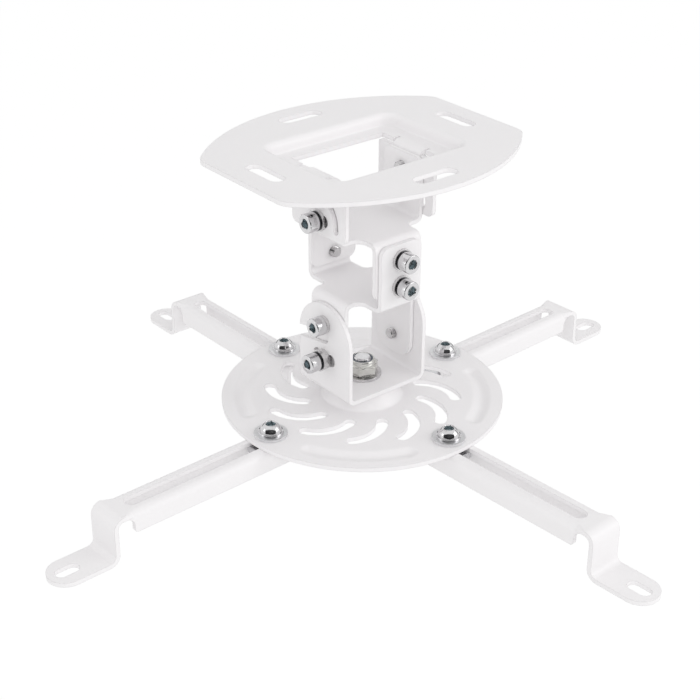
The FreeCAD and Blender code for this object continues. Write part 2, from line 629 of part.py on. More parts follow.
def outside_the_bends(start, end, half, top):
    """Cutter for the rounded top edges, which fade out where the flanges stop."""
    radius = BEND + SHEET
    cutters = []
    for side in (1, -1):
        round_part = Part.Face(corner_profile(start, side, half, top, radius))
        cutters.append(round_part.extrude(V(FLANGE_END - start, 0, 0)))
        cutters.append(Part.makeLoft([corner_profile(FLANGE_END, side, half, top, radius),
                                      corner_profile(end, side, half, top, FADE_R)], True, True))
    return cutters[0].fuse(cutters[1:])


def cap_screw(seat, inward, grip):
    """Socket cap screw: seat is the head's bearing point, and the shank runs inward."""
    outward = inward * -1
    head = cylinder(M5_HEAD_R, seat, outward, M5_HEAD_H)
    rim = [e for e in head.Edges if e.Closed
           and (e.CenterOfMass - seat).dot(outward) > M5_HEAD_H - NEAR]
    head = head.makeChamfer(M5_HEAD_CHAMFER, rim)
    socket = hexagon(M5_SOCKET, seat + outward * (M5_HEAD_H - M5_SOCKET_DEPTH), outward,
                     M5_SOCKET_DEPTH + PAST)
    shank = cylinder(M5_R, seat, inward, grip + M5_TAIL)
    return head.fuse(shank).cut(socket)


def washer(centre, direction, inner, outer, thickness):
    ring = cylinder(outer, centre, direction, thickness)
    return ring.cut(cylinder(inner, centre - direction * PAST, direction, thickness + 2 * PAST))


def spring_washer(centre, direction, split):
    """Split ring under a screw head."""
    ring = washer(centre, direction, M5_R + RUN_GAP, M5_SPRING_R, M5_SPRING_T)
    cut = block(V(0, -SPRING_SPLIT / 2, -PAST),
                V(M5_SPRING_R + PAST, SPRING_SPLIT / 2, M5_SPRING_T + PAST))
    cut.Placement = FreeCAD.Placement(centre, FreeCAD.Rotation(Z_AXIS, direction).multiply(
        FreeCAD.Rotation(Z_AXIS, split)))
    return ring.cut(cut)


def hinge_fasteners(joint, out, axis, pivot_z, lock_z, hooked=False):
    """Four cap screws of one hinge with their washers, on the ears' outer faces.

    Where the ears hook on to the pivot screws, collars keep those heads off the ears and
    spacers lift the washers of the lock screws."""
    flats, springs, collars, spacers = [], [], [], []
    hole = M5_R + RUN_GAP
    for sign, side in ((-1, "a"), (1, "b")):
        outward = axis * sign
        for role, z, split in (("pivot", pivot_z, PIVOT_SPLIT_ANGLE), ("lock", lock_z, LOCK_SPLIT_ANGLE)):
            ear_face = outward * out + V(0, 0, z)
            seat = ear_face
            if hooked and role == "pivot":
                collars.append(washer(seat, outward, hole, M5_COLLAR_R, M5_COLLAR_T))
                seat = seat + outward * M5_COLLAR_T
            else:
                if hooked:
                    spacers.append(washer(seat, outward, hole, M5_SPACER_R, M5_SPACER_T))
                    seat = seat + outward * M5_SPACER_T
                flats.append(washer(seat, outward, hole, M5_WASHER_R, M5_WASHER_T))
                seat = seat + outward * M5_WASHER_T
                springs.append(spring_washer(seat, outward, split))
                seat = seat + outward * M5_SPRING_T
            grip = (seat - ear_face).Length + 2 * SHEET + EAR_GAP
            save(joint + "_" + role + "_screw_" + side, cap_screw(seat, outward * -1, grip))
    for pile, name in ((flats, "flat_washers"), (springs, "spring_washers"),
                       (collars, "collars"), (spacers, "spacers")):
        if pile:
            save(joint + "_" + name, Part.Compound(pile))


def button_screw():
    """Flanged button screw on +Z, its seat at the origin."""
    flange = cylinder(M6_FLANGE_R, V(0, 0, 0), Z_AXIS, M6_FLANGE_T)
    centre_rise = (M6_TOP_R ** 2 + M6_HEAD_H ** 2 - M6_HEAD_R ** 2) / (2 * M6_HEAD_H)
    ball = Part.makeSphere(math.hypot(M6_HEAD_R, centre_rise), V(0, 0, M6_FLANGE_T + centre_rise))
    dome = ball.common(cylinder(M6_FLANGE_R, V(0, 0, M6_FLANGE_T), Z_AXIS, M6_HEAD_H))
    grip = M6_WASHER_T + 2 * SHEET + ARM_GAP + NUT_PLATE_T
    shank = cylinder(M6_R, V(0, 0, -grip - M6_TAIL), Z_AXIS, grip + M6_TAIL)
    socket = hexagon(M6_SOCKET, V(0, 0, M6_FLANGE_T + M6_HEAD_H - M6_SOCKET_DEPTH), Z_AXIS,
                     M6_SOCKET_DEPTH + PAST)
    return flange.fuse([dome, shank]).cut(socket)


def nut_plate():
    """Threaded plate that slides in the arm's channel, its top face at the origin."""
    half_width = ARM_WIDTH / 2 - SHEET - BEND - NUT_PLATE_GAP
    plate = block(V(-NUT_PLATE_LENGTH / 2, -half_width, -NUT_PLATE_T),
                  V(NUT_PLATE_LENGTH / 2, half_width, 0))
    return plate.cut(cylinder(M6_R + RUN_GAP, V(0, 0, -NUT_PLATE_T - PAST), Z_AXIS,
                              NUT_PLATE_T + 2 * PAST))


def swivel_fasteners():
    """Bolt, washers and locking nut that hold the disc under the yoke."""
    head_top = boss_top() - SHEET
    washer_low = YOKE_BASE_Z
    nut_low = washer_low + M8_WASHER_T
    nut_high = nut_low + M8_NUT_H
    save("swivel_washer", washer(V(0, 0, washer_low), Z_AXIS, M8_R + RUN_GAP, M8_WASHER_R, M8_WASHER_T))
    bolt = hexagon(M8_FLATS, V(0, 0, head_top - M8_HEAD_H), Z_AXIS, M8_HEAD_H)
    bolt = bolt.fuse(cylinder(M8_R, V(0, 0, head_top - M8_HEAD_H), Z_AXIS,
                              nut_high + M8_TAIL - head_top + M8_HEAD_H))
    save("swivel_bolt", bolt)
    nut = hexagon(M8_FLATS, V(0, 0, nut_low), Z_AXIS, M8_HEX_H)
    cone = Part.makeCone(M8_FACE_R + M8_HEX_H, M8_FACE_R, M8_HEX_H, V(0, 0, nut_low), Z_AXIS)
    crown = Part.makeCone(M8_FACE_R, M8_CROWN_R, M8_NUT_H - M8_HEX_H, V(0, 0, nut_low + M8_HEX_H),
                          Z_AXIS)
    nut = nut.common(cone).fuse(crown)
    nut = nut.cut(cylinder(M8_R + RUN_GAP, V(0, 0, nut_low - PAST), Z_AXIS, M8_NUT_H + 2 * PAST))
    nut = nut.cut(cylinder(INSERT_R, V(0, 0, nut_high - INSERT_T), Z_AXIS, INSERT_T + PAST))
    save("swivel_nut", nut)
    save("nut_insert_ring", washer(V(0, 0, nut_high - INSERT_T), Z_AXIS, M8_R + RUN_GAP,
                                   INSERT_R - PRESS_GAP, INSERT_T - INSERT_SINK))


def placed(shape, radius, angle, swing, z):
    """Copy of a shape built round its own screw's axis, turned there and moved out."""
    copy = shape.copy()
    copy.rotate(V(0, 0, 0), Z_AXIS, swing)
    copy.translate(V(radius, 0, z))
    copy.rotate(V(0, 0, 0), Z_AXIS, angle)
    return copy


def arm_sets():
    arm_shape, screw, plate = arm(), button_screw(), nut_plate()
    ring = washer(V(0, 0, 0), Z_AXIS, M6_R + RUN_GAP, M6_WASHER_R, M6_WASHER_T)
    for k in range(ARM_COUNT):
        angle = ARM_TURN + k * 360 / ARM_COUNT
        name = str(k + 1)
        swing = ARM_REST_SWING[k]
        pushed_in = arm_shape.copy()
        pushed_in.translate(V(-ARM_SCREW_R - ARM_REST_SLIDE[k], 0, 0))
        save("arm_" + name, placed(pushed_in, ARM_SCREW_R, angle, swing, 0))
        save("arm_screw_" + name, placed(screw, ARM_SCREW_R, angle, swing, DISC_Z + M6_WASHER_T))
        save("arm_washer_" + name, placed(ring, ARM_SCREW_R, angle, swing, DISC_Z))
        save("nut_plate_" + name, placed(plate, ARM_SCREW_R, angle, swing,
                                         DISC_Z - 2 * SHEET - ARM_GAP))


def main():
    os.makedirs("parts", exist_ok=True)
    save("ceiling_plate", ceiling_plate())
    save("upper_cross_bracket", upper_cross_bracket())
    save("lower_cross_bracket", lower_cross_bracket())
    save("yoke_bracket", yoke_bracket())
    save("spider_disc", spider_disc())
    hinge_fasteners("ceiling_tilt", CEILING_EAR_OUT, X_AXIS, TILT_Z, TILT_Z - TILT_LOCK_DROP)
    hinge_fasteners("roll", ROLL_OUT, Y_AXIS, ROLL_Z, ROLL_Z + ROLL_LOCK_RISE)
    hinge_fasteners("yoke_tilt", YOKE_OUT, X_AXIS, YAW_TILT_Z, YAW_TILT_Z - YOKE_LOCK_DROP, True)
    swivel_fasteners()
    arm_sets()


main()
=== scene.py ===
import json
import math

import bmesh
import bpy
from mathutils import Matrix, Vector


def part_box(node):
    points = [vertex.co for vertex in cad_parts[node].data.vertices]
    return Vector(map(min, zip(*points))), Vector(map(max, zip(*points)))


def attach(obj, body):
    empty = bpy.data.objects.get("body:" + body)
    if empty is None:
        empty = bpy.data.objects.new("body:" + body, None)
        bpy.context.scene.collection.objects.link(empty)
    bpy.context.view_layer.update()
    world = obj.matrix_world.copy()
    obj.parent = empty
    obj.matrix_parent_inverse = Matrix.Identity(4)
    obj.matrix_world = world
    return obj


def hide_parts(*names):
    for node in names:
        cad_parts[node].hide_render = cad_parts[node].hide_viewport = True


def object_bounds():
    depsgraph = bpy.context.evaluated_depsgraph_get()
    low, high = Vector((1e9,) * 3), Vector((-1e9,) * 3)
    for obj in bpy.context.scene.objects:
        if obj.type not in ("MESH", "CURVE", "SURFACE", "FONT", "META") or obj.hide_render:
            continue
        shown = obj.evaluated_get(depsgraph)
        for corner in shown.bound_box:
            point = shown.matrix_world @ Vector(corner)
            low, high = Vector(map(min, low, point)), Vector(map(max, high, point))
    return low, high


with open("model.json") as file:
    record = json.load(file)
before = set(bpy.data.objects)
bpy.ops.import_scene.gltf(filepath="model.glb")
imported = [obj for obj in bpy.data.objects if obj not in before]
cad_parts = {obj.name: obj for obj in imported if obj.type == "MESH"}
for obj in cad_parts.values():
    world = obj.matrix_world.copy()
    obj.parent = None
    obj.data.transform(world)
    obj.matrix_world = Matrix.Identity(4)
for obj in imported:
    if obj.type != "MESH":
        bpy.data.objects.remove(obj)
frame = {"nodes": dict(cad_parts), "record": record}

# The projector mount's looks: powder-coated sheet, bright zinc screws with sockets and threads,
# a locking nut, the floors of the disc's beads, a pale floor, studio light and the photograph's
# camera. Metres throughout, in the frame of the built part.

cad_low, cad_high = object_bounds()

MM = 0.001
FULL_TURN = 2 * math.pi

# Meshes
SEGMENTS = 48                        # points in one ring
SHARP_ANGLE = math.radians(32)
EDGE_ROWS = 4                        # rings in a rounded edge
JOIN_DISTANCE = 0.001 * MM

# Hexagon sockets
SOCKET_ROWS = 2                      # rows of faces that take the socket's painted shade
SOCKET_CONE = 0.18                   # depth of the drill's cone, as a share of the flats
SOCKET_LEAD = 0.3 * MM
SOCKET_MOUTH = 0.12 * MM

# Threads, as shares of half a pitch
THREAD_ROOT = 0.25
THREAD_FLANK = 0.625
THREAD_ROWS = 9                      # rings in one pitch

# Cap screws
M5_HEAD_HEIGHT = 5.0 * MM
M5_SHANK_R = 2.5 * MM
M5_PITCH = 0.8 * MM
M5_THREAD_DEPTH = 0.44 * MM
M5_THREAD_LENGTH = 6.4 * MM
M5_TIP = 0.5 * MM
M5_SOCKET = 4.0 * MM
M5_SOCKET_DEPTH = 2.6 * MM
HEAD_EDGE = 0.45 * MM
HEAD_FOOT_EDGE = 0.2 * MM
CAP_TURN = math.radians(23)          # how the first socket stands, and each next one turns
CAP_TURN_STEP = math.radians(37)

# Arm screws: a dome on a thin flange
M6_HEAD_R = 4.85 * MM
M6_TOP_R = 2.6 * MM
M6_DOME_HEIGHT = 3.3 * MM
M6_DOME_ROWS = 9
M6_NECK_DROP = 0.2 * MM
M6_NECK_INSET = 0.05 * MM
M6_NECK_FOOT = 0.12 * MM
M6_FLANGE_HEIGHT = 1.0 * MM
M6_FLANGE_R = 5.5 * MM
M6_FLANGE_DROP = 0.08 * MM
M6_FLANGE_EDGE = 0.3 * MM
M6_FLANGE_FOOT_EDGE = 0.1 * MM
M6_SHANK_R = 3.0 * MM
M6_PITCH = 1.0 * MM
M6_THREAD_DEPTH = 0.55 * MM
M6_THREAD_LENGTH = 6.5 * MM
M6_TIP = 0.6 * MM
M6_SOCKET = 4.0 * MM
M6_SOCKET_DEPTH = 2.2 * MM
ARM_SCREW_TURN = math.radians(14)
ARM_SCREW_TURN_STEP = math.radians(41)

# Swivel bolt and nut
M8_SHANK_R = 4.0 * MM
M8_PITCH = 1.25 * MM
M8_THREAD_DEPTH = 0.68 * MM
M8_THREAD_LENGTH = 12.0 * MM
M8_TIP = 0.8 * MM
M8_FLATS = 13.0 * MM
M8_HEAD_HEIGHT = 4.6 * MM
HEX_CHAMFER = math.radians(30)
HEX_CHAMFER_ROWS = 4
BOLT_FACE = 0.95                     # the round of a hexagon's face, as a share of half its flats
BOLT_DISH = 0.8
NUT_FACE = 0.96
NUT_HEX_HEIGHT = 4.9 * MM
NUT_BORE_GAP = 0.02 * MM
NUT_BORE_LEAD = 0.5 * MM
NUT_BORE_LEAD_HEIGHT = 0.4 * MM
NUT_CROWN_R = 5.6 * MM
NUT_CROWN_EDGE = 0.55 * MM
NUT_CROWN_FOOT = 0.35 * MM
NUT_LIP = 0.2 * MM                   # the rolled lip that holds the insert
NUT_LIP_DEPTH = 0.35 * MM
NUT_LIP_RISE = 0.1 * MM
NUT_TURN = math.radians(11)

# The spider disc and its beads, one between each two arms
SHEET = 2.0 * MM
DISC_TOP = -119.6 * MM
ARM_COUNT = 4
BEAD_CIRCLE_R = 54.6 * MM
BEAD_HALF_WIDTH = 4.7 * MM
BEAD_GROOVE = 1.35 * MM
BEAD_LIP = 0.6 * MM
BEAD_COVER = 0.012 * MM              # how far a bead's mesh covers the disc's faces
ARMS_TURN = math.radians(3.8)        # how far the arm screws' cross is turned from the axes
BEAD_INSET = math.radians(22)        # from an arm screw to the middle of a bead's round end
BEAD_START = ARMS_TURN + BEAD_INSET
BEAD_SPAN = FULL_TURN / ARM_COUNT - 2 * BEAD_INSET
BEAD_ROWS = 14
BEAD_ALONG = 40
BEAD_ROUND = 14

# Finishes. A noise is its scale, its detail and, where it isn't a half, its roughness
COAT_COLOURS = ((0.905, 0.890, 0.898), (0.921, 0.906, 0.914))
COAT_ROUGHNESS = (0.36, 0.46)
COAT_IOR = 1.5
COAT_EDGE = 0.45 * MM
COAT_CLOUDS = (45, 3)
COAT_SHEEN = (700, 2)
COAT_PEEL = (950, 1.5)
COAT_GRAIN = (3600, 2)
COAT_PEEL_DEPTH = 0.03 * MM
COAT_PEEL_STRENGTH = 0.55
COAT_GRAIN_DEPTH = 0.008 * MM
COAT_GRAIN_STRENGTH = 0.5

ZINC_CLOUDS = (260, 4)
ZINC_SCRATCHES = (900, 5, 0.65)
ZINC_GRAIN = (2600, 3)
ZINC_GRAIN_DEPTH = 0.006 * MM
ZINC_GRAIN_STRENGTH = 0.5
LATHE_SCALE = 900
LATHE_DISTORTION = 0.6
LATHE_DETAIL = 2
LATHE_DEPTH = 0.004 * MM

NYLON_COLOURS = ((0.10, 0.12, 0.16), (0.16, 0.18, 0.22))
NYLON_ROUGHNESS = (0.38, 0.5)
NYLON_IOR = 1.53
NYLON_EDGE = 0.2 * MM
NYLON_CLOUDS = (500, 2)
NYLON_SHEEN = (1500, 2)
NYLON_GRAIN = (2500, 2)
NYLON_GRAIN_DEPTH = 0.01 * MM
NYLON_GRAIN_STRENGTH = 0.5

NOISE_LOW, NOISE_HIGH = 0.3, 0.7     # the noise's usual range
BEVEL_SAMPLES = 6

# Floor and world
FLOOR_HALF = 4.0
FLOOR_DROP = 0.13                    # the mount hangs, so its arms clear the floor at every pose
FLOOR_COLOURS = ((0.69, 0.69, 0.69), (0.71, 0.71, 0.71))
FLOOR_CLOUDS = (3, 2)
FLOOR_GLOW = 0.22
FLOOR_WHITE = 1.04
FLOOR_WHITE_SHARE = 0.84             # what the camera and gloss see as white. The rest has shadow
SKY_LIGHT = 0.79
SKY_WHITE = 1.0

# Lamps: name, place, width and height, watts
MIDDLE = (0, 0, -0.07)
LAMPS = (
    ("key_light", (0.78, -0.88, 0.42), (0.7, 0.55), 2.1),
    ("side_light", (-0.95, 0.42, 0.25), (0.3, 0.35), 0.4),
    ("front_fill", (-0.52, -0.96, 0.48), (1.0, 0.6), 2.2),
)

# Dark cards: name, place, width and height, what they face
CARDS = (
    ("card_front", (-0.60, -0.73, 0.26), (2.90, 1.00), MIDDLE),
    ("card_floor", (-0.15, -0.21, -0.138), (0.26, 0.2), (-0.15, -0.21, 0.5)),
    ("card_low_back", (0.68, 0.83, 0.02), (2.4, 0.26), MIDDLE),
    ("card_back", (0.64, 0.78, 0.80), (1.10, 0.34), MIDDLE),
    ("card_right", (1.15, -0.30, 0.10), (0.16, 0.9), MIDDLE),
)
CARD_COLOURS = ((0.015, 0.015, 0.017), (0.025, 0.025, 0.027))
CARD_CLOUDS = (5, 2)
CARD_ROUGHNESS = 0.9

# The photograph's camera, from the middle of the disc's top face
PHOTO_PIXELS = 700
FOCAL_PIXELS = 1490.3
CAMERA_AZIMUTH = math.radians(-39.31)
CAMERA_ELEVATION = math.radians(28.38)
CAMERA_ROLL = math.radians(0.398)
CAMERA_DISTANCE = 0.6814
CAMERA_RIGHT = -0.00554
CAMERA_UP = 0.01916
SENSOR_WIDTH = 36
CLIP_START = 0.01
CLIP_END = 50

bodies = frame["record"]["behaviour"]["bodies"]
body_of = {node: body for body, nodes in bodies.items() for node in nodes}


# Materials

def empty_tree(holder):
    holder.use_nodes = True
    tree = holder.node_tree
    tree.nodes.clear()
    return tree


def new_material(name):
    made = bpy.data.materials.new(name)
    tree = empty_tree(made)
    output = tree.nodes.new("ShaderNodeOutputMaterial")
    shader = tree.nodes.new("ShaderNodeBsdfPrincipled")
    tree.links.new(shader.outputs["BSDF"], output.inputs["Surface"])
    return made, tree, shader


def noise(tree, scale, detail, roughness=0.5):
    where = tree.nodes.new("ShaderNodeTexCoord")
    texture = tree.nodes.new("ShaderNodeTexNoise")
    texture.inputs["Scale"].default_value = scale
    texture.inputs["Detail"].default_value = detail
    texture.inputs["Roughness"].default_value = roughness
    tree.links.new(where.outputs["Object"], texture.inputs["Vector"])
    return texture.outputs["Fac"]


def spread(tree, value, low, high):
    """Stretches a noise's usual range to low and high."""
    node = tree.nodes.new("ShaderNodeMapRange")
    node.inputs["From Min"].default_value = NOISE_LOW
    node.inputs["From Max"].default_value = NOISE_HIGH
    node.inputs["To Min"].default_value = low
    node.inputs["To Max"].default_value = high
    tree.links.new(value, node.inputs["Value"])
    return node.outputs["Result"]


def blend_colours(tree, amount, first, second):
    node = tree.nodes.new("ShaderNodeMix")
    node.data_type = "RGBA"
    node.inputs["A"].default_value = (*first, 1)
    node.inputs["B"].default_value = (*second, 1)
    tree.links.new(amount, node.inputs["Factor"])
    return node.outputs["Result"]


def blend_shaders(tree, amount, first, second):
    node = tree.nodes.new("ShaderNodeMixShader")
    tree.links.new(amount, node.inputs["Fac"])
    tree.links.new(first, node.inputs[1])
    tree.links.new(second, node.inputs[2])
    return node.outputs["Shader"]


def calculate(tree, operation, first, second):
    """A maths node on two outputs, or on an output and a number."""
    node = tree.nodes.new("ShaderNodeMath")
    node.operation = operation
    tree.links.new(first, node.inputs[0])
    if isinstance(second, float):
        node.inputs[1].default_value = second
    else:
        tree.links.new(second, node.inputs[1])
    return node.outputs["Value"]


def camera_or_gloss(tree, rays):
    return calculate(tree, "MAXIMUM", rays.outputs["Is Camera Ray"], rays.outputs["Is Glossy Ray"])


def soft_edges(tree, radius):
    node = tree.nodes.new("ShaderNodeBevel")
    node.samples = BEVEL_SAMPLES
    node.inputs["Radius"].default_value = radius
    return node.outputs["Normal"]


def bump(tree, height, distance, strength, normal=None):
    node = tree.nodes.new("ShaderNodeBump")
    node.inputs["Distance"].default_value = distance
    node.inputs["Strength"].default_value = strength
    tree.links.new(height, node.inputs["Height"])
    if normal is not None:
        tree.links.new(normal, node.inputs["Normal"])
    return node.outputs["Normal"]


def powder_coat(name, edge=None):
    """White powder coat: orange peel, a fine grain, and edges that the coat rounds over."""
    made, tree, shader = new_material(name)
    colour = blend_colours(tree, noise(tree, *COAT_CLOUDS), *COAT_COLOURS)
    tree.links.new(colour, shader.inputs["Base Color"])
    sheen = spread(tree, noise(tree, *COAT_SHEEN), *COAT_ROUGHNESS)
    tree.links.new(sheen, shader.inputs["Roughness"])
    shader.inputs["IOR"].default_value = COAT_IOR
    rounded = soft_edges(tree, edge) if edge else None
    peel = bump(tree, noise(tree, *COAT_PEEL), COAT_PEEL_DEPTH, COAT_PEEL_STRENGTH, rounded)
    grain = bump(tree, noise(tree, *COAT_GRAIN), COAT_GRAIN_DEPTH, COAT_GRAIN_STRENGTH, peel)
    tree.links.new(grain, shader.inputs["Normal"])
    return made


def bright_zinc(name, light, dark, roughness, edge, rings=0.0):
    """Zinc plate: faint clouds, fine scratches and, on turned faces, lathe rings."""
    made, tree, shader = new_material(name)
    shader.inputs["Metallic"].default_value = 1.0
    cloud = spread(tree, noise(tree, *ZINC_CLOUDS), 0, 1)
    tree.links.new(blend_colours(tree, cloud, dark, light), shader.inputs["Base Color"])
    scratches = noise(tree, *ZINC_SCRATCHES)
    tree.links.new(spread(tree, scratches, *roughness), shader.inputs["Roughness"])
    normal = soft_edges(tree, edge)
    normal = bump(tree, noise(tree, *ZINC_GRAIN), ZINC_GRAIN_DEPTH, ZINC_GRAIN_STRENGTH, normal)
    if rings:
        where = tree.nodes.new("ShaderNodeTexCoord")
        wave = tree.nodes.new("ShaderNodeTexWave")
        wave.wave_type = "RINGS"
        wave.rings_direction = "Z"
        wave.inputs["Scale"].default_value = LATHE_SCALE
        wave.inputs["Distortion"].default_value = LATHE_DISTORTION
        wave.inputs["Detail"].default_value = LATHE_DETAIL
        tree.links.new(where.outputs["Object"], wave.inputs["Vector"])
        normal = bump(tree, wave.outputs["Fac"], LATHE_DEPTH, rings, normal)
    tree.links.new(normal, shader.inputs["Normal"])
    return made


def nylon():
    made, tree, shader = new_material("nylon_ring")
    colour = blend_colours(tree, noise(tree, *NYLON_CLOUDS), *NYLON_COLOURS)
    tree.links.new(colour, shader.inputs["Base Color"])
    sheen = spread(tree, noise(tree, *NYLON_SHEEN), *NYLON_ROUGHNESS)
    tree.links.new(sheen, shader.inputs["Roughness"])
    shader.inputs["IOR"].default_value = NYLON_IOR
    grain = bump(tree, noise(tree, *NYLON_GRAIN), NYLON_GRAIN_DEPTH, NYLON_GRAIN_STRENGTH,
                 soft_edges(tree, NYLON_EDGE))
    tree.links.new(grain, shader.inputs["Normal"])
    return made


coat = powder_coat("white_powder_coat", COAT_EDGE)
bead_coat = powder_coat("white_powder_coat_in_beads")
screw_zinc = bright_zinc("bright_zinc_screw", (0.71, 0.705, 0.715), (0.62, 0.615, 0.625),
                         (0.08, 0.14), 0.15 * MM, rings=0.4)
# Sockets: a darker, bluish zinc, painted shade that stands in for the shade inside the hexagon
# socket
socket_painted_shade = bright_zinc("zinc_painted_socket_shade", (0.58, 0.63, 0.65), (0.40, 0.45, 0.47),
                          (0.2, 0.32), 0.05 * MM)
# Threads: a darker zinc, painted shade for the grooves between the thread's crests
thread_painted_shade = bright_zinc("zinc_painted_thread_shade", (0.68, 0.67, 0.67), (0.50, 0.49, 0.50),
                          (0.16, 0.26), 0.04 * MM)
nut_zinc = bright_zinc("bright_zinc_nut", (0.78, 0.78, 0.75), (0.68, 0.68, 0.64),
                       (0.12, 0.2), 0.2 * MM, rings=0.3)
flat_zinc = bright_zinc("zinc_flat_washer", (0.74, 0.73, 0.73), (0.62, 0.61, 0.62),
                        (0.22, 0.34), 0.2 * MM)
pale_zinc = bright_zinc("zinc_arm_washer", (0.86, 0.86, 0.87), (0.79, 0.79, 0.80),
                        (0.26, 0.38), 0.15 * MM)
# Spring washers: near black, painted shade for the dark gap between a screw head and its flat
# washer
spring_washer_painted_shade = bright_zinc("near_black_painted_shade_washer", (0.07, 0.07, 0.075), (0.035, 0.035, 0.04),
                           (0.3, 0.42), 0.2 * MM)
plate_zinc = bright_zinc("zinc_nut_plate", (0.70, 0.70, 0.71), (0.58, 0.58, 0.60),
                         (0.2, 0.34), 0.3 * MM)
insert_nylon = nylon()


# Mesh helpers

def ring(radius, height, shape=None):
    """Points round the Z axis. A shape limits the radius at each angle."""
    points = []
    for k in range(SEGMENTS):
        turn = FULL_TURN * k / SEGMENTS
        here = radius if shape is None else min(radius, shape(turn))
        points.append(Vector((here * math.cos(turn), here * math.sin(turn), height)))
    return points


def centre_point(height):
    return [Vector((0, 0, height))]


def corner_radius(flats):
    return flats / 2 / math.cos(math.pi / 6)


def hexagon(flats):
    """The radius of a hexagon at each angle, from its width across flats."""
    half = flats / 2

    def shape(turn):
        return half / math.cos((turn + math.pi / 6) % (math.pi / 3) - math.pi / 6)
    return shape


def thread(crest, depth, pitch, height):
    """The radius of a thread at each angle, at one height."""
    def shape(turn):
        phase = (height / pitch + turn / FULL_TURN) % 1.0
        rise = abs(phase - 0.5) * 2
        flank = min(1.0, max(0.0, (rise - THREAD_ROOT) / THREAD_FLANK))
        return crest - depth * (1 - flank)
    return shape


def threaded_end(crest, depth, pitch, start, end, chamfer):
    """Rings of a thread that runs out at start and has a chamfered tip at end, start above end."""
    rows = int(round((start - end) / pitch * THREAD_ROWS))
    rings = []
    for k in range(rows + 1):
        height = start + (end - start) * k / rows
        fade = min(1.0, (start - height) / pitch)
        tip = crest - max(0.0, chamfer - (height - end))
        rings.append(ring(tip, height, thread(crest, depth * fade, pitch, height)))
    rings.append(centre_point(end))
    return rings


def socket(flats, depth, face_r):
    """Rings of a hexagon socket from its cone bottom up to the face at height 0."""
    hex_shape = hexagon(flats)
    return [
        centre_point(-depth - flats * SOCKET_CONE),
        ring(flats, -depth, hex_shape),
        ring(flats, -SOCKET_LEAD, hex_shape),
        ring(corner_radius(flats) + SOCKET_MOUTH, 0),
        ring(face_r, 0),
    ]


def rounded_edge(radius, height, size):
    """Rings that turn from a flat face to a cylinder, outwards and down."""
    rings = []
    for k in range(1, EDGE_ROWS + 1):
        angle = math.pi / 2 * k / EDGE_ROWS
        rings.append(ring(radius - size + size * math.sin(angle),
                          height - size + size * math.cos(angle)))
    return rings


def hex_rings(flats, top, bottom, face_r):
    """Rings of a hexagon bar between two heights, with cone chamfers that cut its corners."""
    shape = hexagon(flats)
    reach = corner_radius(flats) - face_r
    drop = reach * math.tan(HEX_CHAMFER)
    shares = [k / HEX_CHAMFER_ROWS for k in range(1, HEX_CHAMFER_ROWS + 1)]
    rings = [ring(face_r, top)]
    rings += [ring(face_r + reach * share, top - drop * share, shape) for share in shares]
    shares.reverse()
    rings += [ring(face_r + reach * share, bottom + drop * share, shape) for share in shares]
    rings.append(ring(face_r, bottom))
    return rings


def mesh_of(name, rings, material, close=False, others=(), join=False):
    """Mesh through the rings. Each of the others is a material with its first and last ring."""
    shape = bmesh.new()
    made = [[shape.verts.new(point) for point in points] for points in rings]
    pairs = list(zip(made, made[1:]))
    if close:
        pairs.append((made[-1], made[0]))
    for row, (first, second) in enumerate(pairs):
        count = max(len(first), len(second))
        slot = next((k + 1 for k, (_, start, end) in enumerate(others) if start <= row < end), 0)
        for k in range(count):
            after = (k + 1) % count
            if len(first) == 1:
                face = shape.faces.new((first[0], second[k], second[after]))
            elif len(second) == 1:
                face = shape.faces.new((first[k], second[0], first[after]))
            else:
                face = shape.faces.new((first[k], second[k], second[after], first[after]))
            face.material_index = slot
    if join:
        bmesh.ops.remove_doubles(shape, verts=shape.verts, dist=JOIN_DISTANCE)
    bmesh.ops.recalc_face_normals(shape, faces=shape.faces)
    mesh = bpy.data.meshes.new(name)
    shape.to_mesh(mesh)
    shape.free()
    mesh.shade_smooth()
    mesh.set_sharp_from_angle(angle=SHARP_ANGLE)
    mesh.materials.append(material)
    for other, _, _ in others:
        mesh.materials.append(other)
    return mesh


def add_object(name, data):
    thing = bpy.data.objects.new(name, data)
    bpy.context.scene.collection.objects.link(thing)
    return thing


def add_piece(name, mesh, place, node):
    piece = add_object(name, mesh)
    piece.matrix_world = place
    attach(piece, body_of[node])
    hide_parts(node)


# Beads of the spider disc

def bead_loop(start, offset, height):
    """Points at one distance round a bead's middle line, which bends with the rim."""
    end = start + BEAD_SPAN
    points = []
    for side, first, last in ((1, start, end), (-1, end, start)):
        for k in range(BEAD_ALONG):
            turn = first + (last - first) * k / BEAD_ALONG
            reach = BEAD_CIRCLE_R + side * offset
            points.append(Vector((reach * math.cos(turn), reach * math.sin(turn), height)))
        middle = Vector((BEAD_CIRCLE_R * math.cos(last), BEAD_CIRCLE_R * math.sin(last), height))
        outward = last + (0 if side > 0 else math.pi)
        for k in range(BEAD_ROUND):
            turn = outward + math.pi * k / BEAD_ROUND
            points.append(middle + Vector((offset * math.cos(turn), offset * math.sin(turn), 0)))
    return points


